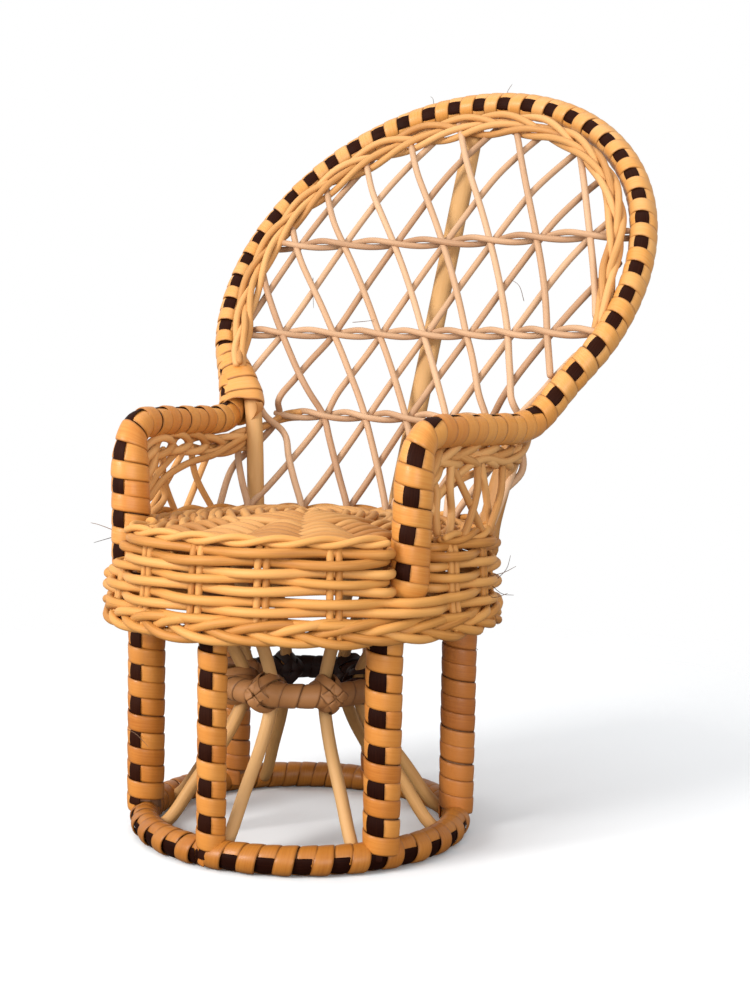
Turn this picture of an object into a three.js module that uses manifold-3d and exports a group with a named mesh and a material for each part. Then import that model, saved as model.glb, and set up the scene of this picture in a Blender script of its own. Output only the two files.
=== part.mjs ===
// Miniature fan-back wicker armchair on a ring base.
// Millimetres, +Z up, the chair faces -Y, its own left arm is at +X.

import * as THREE from 'three';
import { mergeVertices } from 'three/addons/utils/BufferGeometryUtils.js';
import Module from 'manifold-3d';

const wasm = await Module();
wasm.setup();

// Driving dimensions
const gap = 0.3;                 // air left between pieces that touch
const caneThickness = 0.9;       // binding cane wound over a rod

const baseRadius = 59;           // centre line of the ring that stands on the floor
const baseTube = 5.3;            // outside of its binding

const legCircle = 59;
const legTop = 98;
const legs = [                   // angle from the front, outside radius of the binding
  ['left', -60, 7.1], ['front', 0, 5.2], ['right', 60, 6.6],
  ['rear_right', 120, 6.7], ['rear', 180, 6.7], ['rear_left', -120, 6.7],
];

const waistRadius = 29.5;
const waistHeight = 57;
const waistTube = 4.5;
const stickAngles = [-132, -83, -38, 2, 52, 98, 131, 170];
const stickTube = 2.25;
const stickCurve = [             // distance from the chair's axis, height
  [51.2, 8.5], [41, 23], [28.5, 40], [22, 57], [27, 70], [35, 83], [43.5, 97], [49, 107],
];

const seatRadius = 72;           // outside of the woven band at mid height
const seatWall = 5.3;
const bandBottom = 89;
const bandTop = 113.5;
const borderRadius = 75.3;       // twisted border under the band
const borderHeight = 86;
const borderTube = 3.2;
const rimRadius = 70;
const rimHeight = 117;
const rimTube = 2.2;
const matRadius = 66.8;
const matEdge = 115.5;           // top of the mat at its edge
const matCrown = 6;              // rise of the mat's middle over its edge
const matThickness = 3.6;

const rodTube = 5.7;             // arm and hoop, outside of the binding
const postSwell = 1.17;          // the posts are bound thicker than the arms
const postFoot = 99;
const armHeight = 152.8;
const hoopCentre = new THREE.Vector3(0, 94.8, 215.6);
const hoopHalfWidth = 94.3;
const hoopHalfHeight = 98.2;
const hoopTilt = THREE.MathUtils.degToRad(35);
const hoopSweep = THREE.MathUtils.degToRad(124);   // from the top down to where it leaves the ellipse

const braidScale = 0.905;        // braid along the inside of the hoop
const braidTube = 2.9;

const reedTube = 1.25;
const reedOffset = 1.55;         // each family of reeds lies this far to its side of the lattice
const strandTube = 1.15;
const strandSwing = 4.5;         // twined strands pass this far before and behind the lattice
const rowHeights = [117.5, 155.9, 191.3, 231.4, 272, 312];
const columnSpacing = [17.2, 19.4, 21, 23.4, 26, 28.6];
const rowDish = [0.0099, 0.0014, 0.0028, 0.0026, 0.0022, 0.002];
const backFoot = 64.4;           // lattice at the seat, distance behind the axis
const backSlope = 0.403;

const poleTube = 2.75;
const poleBehind = 7.6;
const stakeFoot = 69.5;          // distance from the axis, on the rim
const stakeHeadHeight = 163;
const stakePlaces = [            // side, angle of the foot from the front, head's place
  ['left', -131, [-65, 63.5]], ['right', 123, [62.5, 58]],
];

const cane = () => new THREE.MeshStandardMaterial({ color: '#dc9d52', roughness: 0.42, metalness: 0 });
const rod = () => new THREE.MeshStandardMaterial({ color: '#b98d5e', roughness: 0.7, metalness: 0 });
const reed = () => new THREE.MeshStandardMaterial({ color: '#d3a377', roughness: 0.66, metalness: 0 });
const seatReed = () => new THREE.MeshStandardMaterial({ color: '#d8a25f', roughness: 0.6, metalness: 0 });
const darkCane = () => new THREE.MeshStandardMaterial({ color: '#6b4028', roughness: 0.5, metalness: 0 });

const radians = THREE.MathUtils.degToRad;
const point = (x, y, z) => new THREE.Vector3(x, y, z);

// A point at an angle from the front of the chair, positive towards +X.
function around(radius, degrees, height) {
  const angle = radians(degrees);
  return point(radius * Math.sin(angle), -radius * Math.cos(angle), height);
}

class Arc extends THREE.Curve {
  constructor(radius, height, fromDegrees, toDegrees) {
    super();
    Object.assign(this, { radius, height, fromDegrees, toDegrees });
  }
  getPoint(t) {
    return around(this.radius, THREE.MathUtils.lerp(this.fromDegrees, this.toDegrees, t), this.height);
  }
}

function polygon(radius, sides, Kind = THREE.Shape) {
  const corner = (i) => {
    const angle = ((i + 0.5) / sides) * 2 * Math.PI;
    return new THREE.Vector2(radius * Math.cos(angle), radius * Math.sin(angle));
  };
  return new Kind(Array.from({ length: sides }, (_, i) => corner(i)));
}

function rodAlong(path, radius, sides, steps) {
  return new THREE.ExtrudeGeometry(polygon(radius, sides), { extrudePath: path, steps });
}

function sleeveAlong(path, outside, inside, sides, steps) {
  const section = polygon(outside, sides);
  section.holes.push(polygon(inside, sides, THREE.Path));
  return new THREE.ExtrudeGeometry(section, { extrudePath: path, steps });
}

const smooth = (points) => new THREE.CatmullRomCurve3(points, false, 'centripetal');

// A closed outline of [radius, height] pairs, counter-clockwise, turned about the chair's axis.
function turned(outline, segments) {
  const profile = outline.map(([radius, height]) => new THREE.Vector2(radius, height));
  return new THREE.LatheGeometry(profile, segments).rotateX(Math.PI / 2);
}

function ring(radius, tube, height, sides, segments) {
  const corner = (i) => {
    const angle = ((i + 0.5) / sides) * 2 * Math.PI;
    return [radius + tube * Math.cos(angle), height + tube * Math.sin(angle)];
  };
  return turned(Array.from({ length: sides + 1 }, (_, i) => corner(i % sides)), segments);
}

function toSolid(geometry) {
  const bare = geometry.clone();
  bare.deleteAttribute('normal');
  bare.deleteAttribute('uv');
  const merged = mergeVertices(bare, 1e-4);
  return new wasm.Manifold(new wasm.Mesh({
    numProp: 3,
    vertProperties: new Float32Array(merged.attributes.position.array),
    triVerts: new Uint32Array(merged.index.array),
  }));
}

function fromSolid(solid) {
  const mesh = solid.getMesh();
  const geometry = new THREE.BufferGeometry();
  geometry.setAttribute('position', new THREE.BufferAttribute(mesh.vertProperties, 3));
  geometry.setIndex(new THREE.BufferAttribute(mesh.triVerts, 1));
  return geometry;
}

function cut(geometry, ...tools) {
  return fromSolid(tools.reduce((solid, tool) => solid.subtract(toSolid(tool)), toSolid(geometry)));
}

function join(...geometries) {
  return fromSolid(geometries.map(toSolid).reduce((whole, next) => whole.add(next)));
}

const chair = new THREE.Group();

function add(name, geometry, material) {
  const mesh = new THREE.Mesh(geometry, material);
  mesh.name = name;
  chair.add(mesh);
}

// Ring base: a bent rod inside a binding whose two ends meet behind the rear leg.

const ringSegments = 32;

function baseRing() {
  const core = baseTube - caneThickness - gap;
  add('base_ring', ring(baseRadius, core, baseTube, 8, ringSegments), rod());
  const seam = 0.6;
  const path = new Arc(baseRadius, baseTube, 180 + seam, 540 - seam);
  const sleeve = sleeveAlong(path, baseTube, baseTube - caneThickness, 8, ringSegments);
  add('base_ring_binding', sleeve, cane());
}

// Legs stand astride the ring, so each foot is cut to the ring's shape.

function legPieces() {
  const saddle = ring(baseRadius, baseTube + 2 * gap, baseTube, 8, ringSegments);
  const foot = baseTube + 1.5;
  for (const [side, degrees, outside] of legs) {
    const path = new THREE.LineCurve3(around(legCircle, degrees, foot), around(legCircle, degrees, legTop));
    const inside = outside - caneThickness;
    add(`leg_${side}`, cut(rodAlong(path, inside - gap, 10, 1), saddle), rod());
    add(`leg_${side}_binding`, cut(sleeveAlong(path, outside, inside, 10, 1), saddle), cane());
  }
}

// Bent sticks run from the ring, in through the waist ring, and out again to the seat.

const stickPath = (degrees) => smooth(stickCurve.map(([radius, height]) => around(radius, degrees, height)));

function waist() {
  const core = waistTube - caneThickness - 2 * gap;
  add('waist_ring', ring(waistRadius, core, waistHeight, 6, 20), rod());
  const seam = 2;
  const path = new Arc(waistRadius, waistHeight, seam, 360 - seam);
  add('waist_ring_binding', sleeveAlong(path, waistTube, waistTube - caneThickness, 6, 20), darkCane());
  const ringClear = ring(baseRadius, baseTube + 2 * gap, baseTube, 8, ringSegments);
  stickAngles.forEach((degrees, i) => {
    const stick = rodAlong(stickPath(degrees), stickTube, 6, 8);
    add(`waist_stick_${i + 1}`, cut(stick, ringClear), reed());
  });
}

// The arms and the hoop are one rod: post, arm, hoop, arm, post.

const hoopUp = point(0, Math.sin(hoopTilt), Math.cos(hoopTilt));

function onHoop(angle, scale) {
  return hoopCentre.clone()
    .addScaledVector(point(1, 0, 0), scale * hoopHalfWidth * Math.sin(angle))
    .addScaledVector(hoopUp, scale * hoopHalfHeight * Math.cos(angle));
}

function rodPath(footHeight) {
  const side = [
    point(59.6, -28.6, footHeight), point(60.2, -28.2, 125), point(60.9, -27.6, 143),
    point(61.4, -24.2, 150.4), point(62.4, -16.5, armHeight), point(65.6, 20, armHeight + 0.4),
    point(68.4, 44, armHeight + 1), point(70.8, 53.8, armHeight + 5),
  ];
  const arcSteps = 18;
  const hoop = Array.from({ length: arcSteps + 1 },
    (_, i) => onHoop(hoopSweep * (1 - (2 * i) / arcSteps), 1));
  const otherSide = side.map((p) => point(-p.x, p.y, p.z)).reverse();
  return smooth([...side, ...hoop, ...otherSide]);
}

// Widens the posts below the bend, sideways from each post's own line.
function swellPosts(geometry, factor) {
  const position = geometry.attributes.position;
  const postX = 60.3;
  const postY = -28.1;
  for (let i = 0; i < position.count; i++) {
    const isPost = position.getY(i) < -15;
    const amount = isPost ? THREE.MathUtils.smoothstep(150 - position.getZ(i), 0, 14) : 0;
    const scale = 1 + (factor - 1) * amount;
    const side = Math.sign(position.getX(i)) * postX;
    position.setX(i, side + (position.getX(i) - side) * scale);
    position.setY(i, postY + (position.getY(i) - postY) * scale);
  }
  return geometry;
}

const rodSteps = 64;

function armsAndHoop() {
  const inside = rodTube - caneThickness;
  const core = rodAlong(rodPath(postFoot + 1), inside - gap, 7, rodSteps);
  const sleeve = sleeveAlong(rodPath(postFoot + 1), rodTube, inside, 7, rodSteps);
  add('arm_and_hoop_rod', swellPosts(core, postSwell), rod());
  add('arm_and_hoop_binding', swellPosts(sleeve, postSwell), cane());
}

// Seat: a woven band with notches for the two posts, a twisted border below, a rim above, a domed mat.

const postCutter = (side) => rodAlong(
  new THREE.LineCurve3(point(side * 59.5, -28.65, postFoot), point(side * 60.4, -28.1, 130)),
  rodTube * postSwell + 2 * gap, 12, 1);

function seat() {
  const inner = seatRadius - seatWall;
  const wall = [
    [inner, bandTop], [inner, bandBottom], [seatRadius + 1, bandBottom],
    [seatRadius, (bandBottom + bandTop) / 2], [rimRadius, bandTop], [inner, bandTop],
  ];
  add('seat_band', cut(turned(wall, ringSegments), postCutter(1), postCutter(-1)), seatReed());
  add('seat_border', ring(borderRadius, borderTube, borderHeight - gap, 6, ringSegments), seatReed());

  const rimFront = new Arc(rimRadius, rimHeight, -56, 56);
  const rimBack = new Arc(rimRadius, rimHeight, 74, 286);
  add('seat_rim_front', rodAlong(rimFront, rimTube, 6, 10), seatReed());
  add('seat_rim_back', rodAlong(rimBack, rimTube, 6, 20), seatReed());

  const rings = 3;
  const crown = (i) => {
    const share = i / rings;
    return [matRadius * share, matEdge + matCrown * (1 - share * share)];
  };
  const top = Array.from({ length: rings + 1 }, (_, i) => crown(rings - i));
  const bottom = [[0, matEdge + matCrown - matThickness], [matRadius * 0.6, matEdge - 0.4], [matRadius, bandTop + gap]];
  const mat = turned([bottom[2], ...top, ...bottom].filter((p, i) => i === 0 || p !== top[rings]), ringSegments);
  add('seat_mat', cut(mat, postCutter(1), postCutter(-1)), seatReed());
}

// Lattice back: two crossing families of reeds and three twined rows.

function alongRows(table, row) {
  const lower = Math.min(Math.floor(row), table.length - 2);
  return THREE.MathUtils.lerp(table[lower], table[lower + 1], row - lower);
}

// The lattice surface at a row and column; both may be fractions.
function surface(row, column) {
  const x = column * alongRows(columnSpacing, row);
  const z = alongRows(rowHeights, row);
  const flat = backFoot + backSlope * (z - rowHeights[0]) - alongRows(rowDish, row) * x * x;
  const up = (z - hoopCentre.z) / Math.cos(hoopTilt);
  const reach = Math.hypot(x / hoopHalfWidth, Math.max(up, -0.45 * hoopHalfHeight) / hoopHalfHeight);
  const towardsHoop = row > 1 ? THREE.MathUtils.smoothstep(reach, 0.62, braidScale) : 0;
  const hoopY = hoopCentre.y + (z - hoopCentre.z) * Math.tan(hoopTilt);
  return point(x, THREE.MathUtils.lerp(flat, hoopY, towardsHoop), z);
}

// The same point moved square to the surface, towards the chair's rear.
function lattice(row, column, behind) {
  const step = 0.1;
  const across = surface(row, column + step).sub(surface(row, column - step));
  const rise = surface(row + step, column).sub(surface(Math.max(row - step, 0), column));
  return surface(row, column).addScaledVector(rise.cross(across).normalize(), behind);
}

function reachesHoop(row, column) {
  const p = surface(row, column);
  const up = (p.z - hoopCentre.z) / Math.cos(hoopTilt);
  return Math.hypot(p.x / hoopHalfWidth, up / hoopHalfHeight) > braidScale;
}

const braidPath = () => {
  const steps = 24;
  const sweep = radians(118);
  return smooth(Array.from({ length: steps + 1 }, (_, i) => onHoop(sweep * (1 - (2 * i) / steps), braidScale)));
};

// lean is -1 for a reed that climbs towards -X and +1 for one that climbs towards +X.
function reedPath(footColumn, lean, behind) {
  const rowStep = 0.05;
  const rows = [];
  for (let row = 0; row < rowHeights.length - 1; row += rowStep) {
    const column = footColumn + lean * row;
    const isLow = rowHeights[0] + row * 38 < 176;
    const isInside = isLow ? Math.abs(surface(row, column).x) < 57 + 10 * row : !reachesHoop(row, column);
    if (isInside) rows.push(row);
  }
  const first = rows[0];
  const last = rows[rows.length - 1];
  const bends = Math.max(3, Math.round((last - first) * 4));
  const stops = Array.from({ length: bends + 1 }, (_, i) => THREE.MathUtils.lerp(first, last, i / bends));
  return smooth(stops.map((row) => lattice(row, footColumn + lean * row, behind)));
}

function largestPart(solid) {
  return solid.decompose().sort((a, b) => b.volume() - a.volume())[0];
}

// Every reed is trimmed where it meets the hoop, its braid, a stake or a reed laid before it.
function reeds(obstacles) {
  const placed = [];
  for (const [family, lean] of [['left', -1], ['right', 1]]) {
    const before = [...obstacles, ...placed];
    for (let n = -3; n <= 6; n++) {
      const path = reedPath(-lean * n, lean, lean * reedOffset);
      const steps = Math.max(4, Math.round(path.getLength() / 18));
      const whole = toSolid(rodAlong(path, reedTube, 5, steps));
      const trimmed = before.reduce((solid, tool) => solid.subtract(tool), whole);
      add(`reed_${family}_${n + 4}`, fromSolid(largestPart(trimmed)), reed());
      placed.push(toSolid(rodAlong(path, reedTube + gap, 5, steps)));
    }
  }
  return placed;
}

function twinedRow(number, row, obstacles) {
  const reach = [3.05, 3.3, 3.45][row - 1];
  const stepsPerColumn = 4;
  const count = Math.round(2 * reach * stepsPerColumn);
  const strand = (side) => {
    const stop = (i) => {
      const column = -reach + (2 * reach * i) / count;
      return lattice(row, column, side * strandSwing * Math.cos(Math.PI * column));
    };
    return rodAlong(smooth(Array.from({ length: count + 1 }, (_, i) => stop(i))), strandTube, 5, count);
  };
  const pair = toSolid(join(strand(1), strand(-1)));
  const trimmed = obstacles.reduce((solid, tool) => solid.subtract(tool), pair);
  add(`twined_row_${number}`, fromSolid(largestPart(trimmed)), reed());
}

function pole(radius) {
  const foot = lattice(0, 0, poleBehind);
  const top = onHoop(0, 1);
  const down = point(0, foot.y - top.y, foot.z - top.z).normalize();
  const tip = top.clone().addScaledVector(down, rodTube + 4 * gap);
  return rodAlong(new THREE.LineCurve3(point(0, foot.y, rimHeight + rimTube + gap), tip), radius, 8, 1);
}

function back() {
  const braidClear = rodAlong(braidPath(), braidTube + gap, 8, 60);
  add('back_pole', cut(pole(poleTube), braidClear), rod());
  add('hoop_braid', rodAlong(braidPath(), braidTube, 6, 42), reed());
  const frame = [
    braidClear, rodAlong(rodPath(postFoot), rodTube + gap, 8, rodSteps),
    ...stakePlaces.map((place) => stake(place, poleTube + gap)),
  ].map(toSolid);
  const laid = reeds(frame);
  const obstacles = [...frame, ...laid, toSolid(pole(poleTube + gap))];
  [3, 2, 1].forEach((row, i) => twinedRow(i + 1, row, obstacles));
}

// Rear stakes stand on the rim and lean back to the elbows of the rod.

function stake([, degrees, [headX, headY]], radius) {
  const foot = around(stakeFoot, degrees, rimHeight + rimTube + 4 * gap);
  return rodAlong(new THREE.LineCurve3(foot, point(headX, headY, stakeHeadHeight)), radius, 8, 1);
}

function stakes() {
  stakePlaces.forEach((place) => add(`stake_${place[0]}`, stake(place, poleTube), rod()));
}

// Side panels: a looped border under each arm, with crossing reeds down to the rim.

function sidePanel(name, side) {
  const height = 141.5;
  const border = smooth([
    point(side * 60.4, -17, height - 3), point(side * 62, -6, height), point(side * 64.5, 16, height + 0.8),
    point(side * 65.8, 30, height), point(side * 66.8, 43, height - 1),
  ]);
  const low = rimHeight + rimTube + gap + 0.2;
  const crossing = [[84, 101], [100, 86], [102, 116], [114, 103]];
  const legsOfPanel = crossing.map(([lowDegrees, highDegrees]) => {
    const foot = around(69.6, side * lowDegrees, low);
    const head = around(66.5, side * highDegrees, height - 0.5);
    const middle = foot.clone().lerp(head, 0.5).add(point(side * 1.2, 0, 0));
    return rodAlong(smooth([foot, middle, head]), reedTube + 0.1, 5, 3);
  });
  add(name, join(rodAlong(border, 3, 6, 8), ...legsOfPanel), reed());
}

baseRing();
legPieces();
waist();
seat();
armsAndHoop();
back();
stakes();
sidePanel('side_panel_left', -1);
sidePanel('side_panel_right', 1);

// The origin is on the floor, under the middle of the chair's outline.
const outline = new THREE.Box3().setFromObject(chair);
const middle = outline.getCenter(new THREE.Vector3());
chair.position.set(-middle.x, -middle.y, -outline.min.z);

export default chair;
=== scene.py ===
import math
import random

import bpy
from mathutils import Matrix, Vector


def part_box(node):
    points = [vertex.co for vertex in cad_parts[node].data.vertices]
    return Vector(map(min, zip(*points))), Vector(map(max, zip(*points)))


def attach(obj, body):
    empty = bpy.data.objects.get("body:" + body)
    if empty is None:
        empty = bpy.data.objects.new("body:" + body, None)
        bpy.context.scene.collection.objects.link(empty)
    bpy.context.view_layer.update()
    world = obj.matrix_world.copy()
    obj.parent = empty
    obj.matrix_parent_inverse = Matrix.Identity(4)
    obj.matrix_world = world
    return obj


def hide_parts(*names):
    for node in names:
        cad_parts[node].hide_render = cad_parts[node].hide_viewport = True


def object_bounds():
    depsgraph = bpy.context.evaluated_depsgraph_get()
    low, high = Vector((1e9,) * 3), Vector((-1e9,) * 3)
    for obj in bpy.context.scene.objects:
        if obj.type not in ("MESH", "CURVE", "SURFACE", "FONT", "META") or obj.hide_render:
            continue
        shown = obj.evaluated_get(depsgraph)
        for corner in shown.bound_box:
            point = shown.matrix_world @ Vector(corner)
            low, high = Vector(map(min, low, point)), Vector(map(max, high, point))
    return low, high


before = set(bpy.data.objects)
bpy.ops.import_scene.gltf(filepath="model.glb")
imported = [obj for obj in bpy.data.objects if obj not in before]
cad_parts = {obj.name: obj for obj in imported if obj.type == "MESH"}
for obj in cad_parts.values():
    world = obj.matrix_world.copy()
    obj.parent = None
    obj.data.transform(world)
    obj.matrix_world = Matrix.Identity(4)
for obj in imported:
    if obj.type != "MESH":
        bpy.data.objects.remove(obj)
cad_low, cad_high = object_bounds()

# ---------------------------------------------------------------- places, in millimetres unless said

MM = 0.001
UP = Vector((0, 0, 1))
chance = random.Random(11)


def middle(node):
    low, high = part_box(node)
    return (low + high) / 2


def half_width(node):
    low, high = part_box(node)
    return (high.x - low.x) / 2 / MM


# Heights are counted from just under the ground, so that the middle of the floor ring is at 5.7.
axis = middle("base_ring")
axis.z = middle("base_ring_binding").z - 5.7 * MM


def spot(x, y, z):
    """A point that far right of the upright axis, behind it, and above the floor."""
    return axis + Vector((x, y, z)) * MM


def around(radius, degrees, height):
    """A point at an angle from the front, positive towards +X."""
    angle = math.radians(degrees)
    return spot(radius * math.sin(angle), -radius * math.cos(angle), height)


def blend_between(table, at):
    low = min(max(int(at), 0), len(table) - 2)
    return table[low] + (table[low + 1] - table[low]) * (at - low)


def smoothstep(value, low, high):
    share = min(max((value - low) / (high - low), 0), 1)
    return share * share * (3 - 2 * share)


base_tube = 5.3
base_radius = half_width("base_ring_binding") - base_tube
waist_tube = 4.5
waist_radius = half_width("waist_ring_binding") - waist_tube
waist_height = 57
stick_angles = [-132, -83, -38, 2, 52, 98, 131, 170]
stick_curve = [(51.2, 8.5), (41, 23), (28.5, 40), (22, 57), (27, 70), (35, 83), (43.5, 97), (49, 107)]

spoke_count = 18
weaver = 1.62
band_radius = 69.4
border_tube = 3.2
border_inset = 3.6
border_radius = half_width("seat_border") - border_tube - border_inset
border_height = 86.2
rim_radius = 69
rim_height = 116.6
post_foot = 99
post_places = [spot(-60.2, -28.2, 0), spot(60.2, -28.2, 0)]
post_angle = 64.9
mat_radius = half_width("seat_mat")

rod_tube = 5.7
post_swell = 1.17
hoop_back = 94.8
hoop_height = 215.6
hoop_centre = spot(0, hoop_back, hoop_height)
hoop_half_width = half_width("arm_and_hoop_binding") - rod_tube
hoop_half_height = 98.2
hoop_tilt = math.radians(35)
hoop_up = Vector((0, math.sin(hoop_tilt), math.cos(hoop_tilt)))
hoop_front = Vector((0, -math.cos(hoop_tilt), math.sin(hoop_tilt)))

# The back's lattice: one value for each level where its reeds cross, from the seat up.
row_heights = [117.5, 155.9, 191.3, 231.4, 272, 312]
column_spacing = [17.2, 19.4, 21, 23.4, 26, 28.6]
row_dish = [0.0099, 0.0014, 0.0028, 0.0026, 0.0022, 0.002]
back_foot = 64.4
back_slope = 0.403

# ---------------------------------------------------------------- lines and tubes


def smooth_line(stops, spacing):
    """Points at an even spacing, in millimetres, on a smooth line through the stops."""
    fine = []
    between = 24
    last = len(stops) - 1
    for i in range(last):
        before, after = stops[max(i - 1, 0)], stops[min(i + 2, last)]
        start, end = stops[i], stops[i + 1]
        span = (end - start).length
        out = (end - before) * (span / max(span + (start - before).length, 1e-9))
        into = (after - start) * (span / max(span + (after - end).length, 1e-9))
        for j in range(between):
            t = j / between
            fine.append((2 * t**3 - 3 * t**2 + 1) * start + (t**3 - 2 * t**2 + t) * out
                        + (3 * t**2 - 2 * t**3) * end + (t**3 - t**2) * into)
    fine.append(stops[last].copy())
    return evenly(fine, spacing)


def distances(points):
    """How far along the line each point lies, in metres."""
    gone = [0.0]
    for a, b in zip(points, points[1:]):
        gone.append(gone[-1] + (b - a).length)
    return gone


def evenly(points, spacing):
    """The same line with points at an even spacing, in millimetres."""
    gone = distances(points)
    count = max(2, round(gone[-1] / (spacing * MM)))
    spread, at = [], 0
    for i in range(count + 1):
        want = gone[-1] * i / count
        while at < len(points) - 2 and gone[at + 1] < want:
            at += 1
        share = (want - gone[at]) / max(gone[at + 1] - gone[at], 1e-12)
        spread.append(points[at].lerp(points[at + 1], min(max(share, 0), 1)))
    return spread


def directions(points, closed):
    """The way the line runs at every point; a line whose ends meet runs smoothly through them."""
    count = len(points)
    meets = not closed and (points[0] - points[-1]).length < 1e-6
    found = []
    for i in range(count):
        if closed:
            step = points[(i + 1) % count] - points[i - 1]
        elif meets and i in (0, count - 1):
            step = points[1] - points[-2]
        else:
            step = points[min(i + 1, count - 1)] - points[max(i - 1, 0)]
        found.append(step.normalized())
    return found


def turned_sides(points, closed=False, facing=None):
    """The ways out and across at every point. Out follows facing, or turns as little as it can."""
    sides = []
    out = None
    for i, along in enumerate(directions(points, closed)):
        if facing is not None:
            aim = facing[i] if isinstance(facing, list) else facing
        elif out is None:
            aim = Vector((1, 0, 0)) if abs(along.x) < 0.8 else UP
        else:
            aim = out
        out = (aim - along * aim.dot(along)).normalized()
        sides.append((out, along.cross(out)))
    return sides


def blank():
    """A piece with nothing laid in it yet."""
    return {"points": [], "faces": [], "maps": [], "shades": []}


def lay_reed(work, points, radius, sides=6, closed=False, taper=0.0, widen=1.0):
    """Adds one round reed; its cage is wider than the reed, because subdividing draws it in."""
    shade = chance.random()
    cage_widening = 1.17
    first = len(work["points"])
    count = len(points)
    runs = distances(points)
    facing = UP if closed else None
    for i, (point, (out, across)) in enumerate(zip(points, turned_sides(points, closed, facing))):
        wide = radius * cage_widening * MM * (1 - taper * i / count)
        for j in range(sides):
            angle = 2 * math.pi * j / sides
            rim = widen * math.cos(angle) * out + math.sin(angle) * across
            work["points"].append(point + wide * rim)
            work["shades"].append(shade)
    for i in range(count if closed else count - 1):
        start = runs[i]
        end = runs[i + 1] if i + 1 < count else runs[-1] + (points[0] - points[-1]).length
        here, there = first + i * sides, first + ((i + 1) % count) * sides
        for j in range(sides):
            k = (j + 1) % sides
            work["faces"].append((here + j, here + k, there + k, there + j))
            low, high = j / sides, (j + 1) / sides
            work["maps"].append(((start, low), (start, high), (end, high), (end, low)))
    if not closed:
        tail = first + (count - 1) * sides
        work["faces"].append(tuple(first + j for j in reversed(range(sides))))
        work["faces"].append(tuple(tail + j for j in range(sides)))
        work["maps"].append(((0, 0.5),) * sides)
        work["maps"].append(((runs[-1], 0.5),) * sides)


def lay_strip(work, rows, shades):
    """Adds a flat strip. Each row holds the points across it; the rows follow its length."""
    first = len(work["points"])
    wide = len(rows[0])
    run = 0.0
    for i, row in enumerate(rows):
        work["points"].extend(row)
        work["shades"].extend([shades[i]] * wide)
        if not i:
            continue
        step = (row[wide // 2] - rows[i - 1][wide // 2]).length
        here, there = first + (i - 1) * wide, first + i * wide
        for k in range(wide - 1):
            work["faces"].append((here + k, there + k, there + k + 1, here + k + 1))
            low, high = k / (wide - 1), (k + 1) / (wide - 1)
            work["maps"].append(((run, low), (run + step, low), (run + step, high), (run, high)))
        run += step


def make_piece(work, name, material, replaced=(), thickness=0.0):
    """Makes what was laid into a piece on the chair's one body; its map counts centimetres along."""
    mesh = bpy.data.meshes.new(name)
    mesh.from_pydata(work["points"], [], work["faces"])
    layer = mesh.uv_layers.new(name="along")
    flat = [corner for face in work["maps"] for corner in face]
    layer.data.foreach_set("uv", [value for run, side in flat for value in (run / (10 * MM), side)])
    shades = mesh.attributes.new("shade", "FLOAT", "POINT")
    shades.data.foreach_set("value", work["shades"])
    mesh.polygons.foreach_set("use_smooth", [True] * len(mesh.polygons))
    mesh.materials.append(material)
    piece = bpy.data.objects.new(name, mesh)
    bpy.context.scene.collection.objects.link(piece)
    if thickness:
        wall = piece.modifiers.new("thickness", "SOLIDIFY")
        wall.thickness = thickness * MM
        wall.offset = 0
    rounding = piece.modifiers.new("rounding", "SUBSURF")
    rounding.levels = 1
    rounding.render_levels = 1
    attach(piece, "root")
    if replaced:
        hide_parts(*replaced)


def single_reed(name, node, line, radius, material, sides=6, widen=1.0):
    """A piece that is one reed and stands for one node."""
    work = blank()
    lay_reed(work, line, radius, sides, widen=widen)
    make_piece(work, name, material, (node,))


# ---------------------------------------------------------------- finishes


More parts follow.
